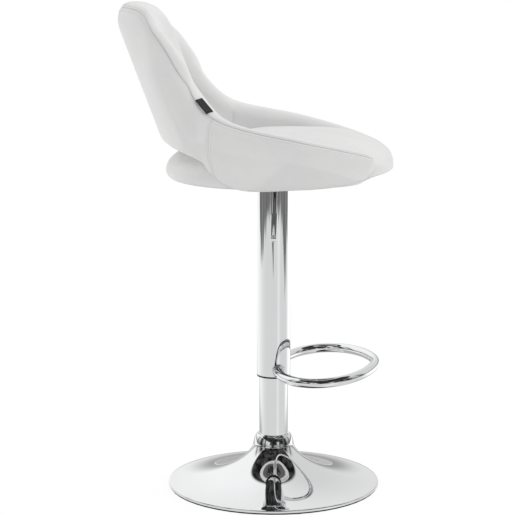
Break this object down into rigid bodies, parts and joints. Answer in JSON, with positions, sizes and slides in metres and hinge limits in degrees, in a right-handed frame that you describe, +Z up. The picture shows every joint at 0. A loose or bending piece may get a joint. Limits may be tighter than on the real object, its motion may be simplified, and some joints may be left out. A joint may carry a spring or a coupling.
{
  "type": "bar stool with footrest",
  "caption": "Height-adjustable swivel bar stool: chrome trumpet base and column, loop footrest, side lever, and a bucket seat with a padded wrap-around back in pale leather.",
  "frame": {"origin": "on the column's axis at floor level, under the middle of the base; the underside cover's face is 2 mm above it", "axes": "+Z is up along the column, +X is the way the sitter faces (the footrest side), +Y is the sitter's left; the lever is on -Y"},
  "size_m": [0.5151, 0.4836, 0.9136],
  "materials": {
    "chrome": "bright chrome plate, polished",
    "steel": "bare mild steel, turned or sheared",
    "zinc": "bright zinc-plated fasteners",
    "black_steel": "satin black powder coat",
    "iron": "rough cast, unpainted",
    "plastic": "moulded black plastic",
    "rubber": "matt black rubber",
    "wood": "raw plywood, pressed and sawn",
    "leather": "pale grey-white coated leather with a fine grain, over foam",
    "cloth": "black woven cloth",
    "lining": "dark grey non-woven cloth"
  },
  "bodies": {
    "base": {"base_dish": "chrome", "base_edge_ring": "rubber", "underside_cover": "plastic", "base_plate": "steel", "ballast_ring": "iron", "pipe_flange": "steel", "flange_bolt_1": "zinc", "flange_bolt_2": "zinc", "flange_bolt_3": "zinc", "flange_nut_1": "zinc", "flange_nut_2": "zinc", "flange_nut_3": "zinc", "column_pipe": "chrome", "base_collar": "chrome", "pipe_end_plate": "steel", "lower_race": "steel", "ball_cage": "steel", "guide_bush": "plastic"},
    "lift_rod": {"piston_rod": "steel", "gas_piston": "plastic", "upper_race": "steel", "bump_stop": "rubber", "rod_washer": "zinc", "rod_clip": "black_steel"},
    "seat_unit": {"gas_cylinder": "black_steel", "cylinder_end_guide": "plastic", "column_sleeve": "chrome", "sleeve_guide_ring": "plastic", "footrest_ring": "chrome", "footrest_weld_left": "chrome", "footrest_weld_right": "chrome", "taper_socket": "steel", "sleeve_top_ring": "steel", "seat_plate": "black_steel", "lever_housing": "black_steel", "lever_pivot_pin": "zinc", "plate_bolt_1": "zinc", "plate_bolt_2": "zinc", "plate_bolt_3": "zinc", "plate_bolt_4": "zinc", "tee_nut_1": "zinc", "tee_nut_2": "zinc", "tee_nut_3": "zinc", "tee_nut_4": "zinc", "seat_board": "wood", "dust_cover": "lining", "seat_cushion": "leather", "back_front_pad": "leather", "back_rear_panel": "leather", "back_core": "wood", "sewn_tag": "cloth"},
    "lever": {"lever_rod": "chrome", "lever_grip": "chrome"},
    "valve_button": {"valve_button": "steel"}
  },
  "joints": [
    {"name": "seat_swivel", "type": "hinge", "parent": "base", "child": "lift_rod", "pos_m": [0, 0, 0.038], "axis": [0, 0, 1], "continuous": true},
    {"name": "height_lift", "type": "slide", "parent": "lift_rod", "child": "seat_unit", "axis": [0, 0, 1], "range_m": [-0.1, 0.11]},
    {"name": "lever_pull", "type": "hinge", "parent": "seat_unit", "child": "lever", "pos_m": [0.004, -0.026, 0.597], "axis": [-1, 0, 0], "range_deg": [0, 7], "stiffness_Nm_per_rad": 3},
    {"name": "valve_press", "type": "slide", "parent": "seat_unit", "child": "valve_button", "axis": [0, 0, -1], "range_m": [0, 0.0034]}
  ],
  "couplings": [
    {"joint": "valve_press", "follows": "lever_pull", "m_per_rad": 0.0275}
  ]
}
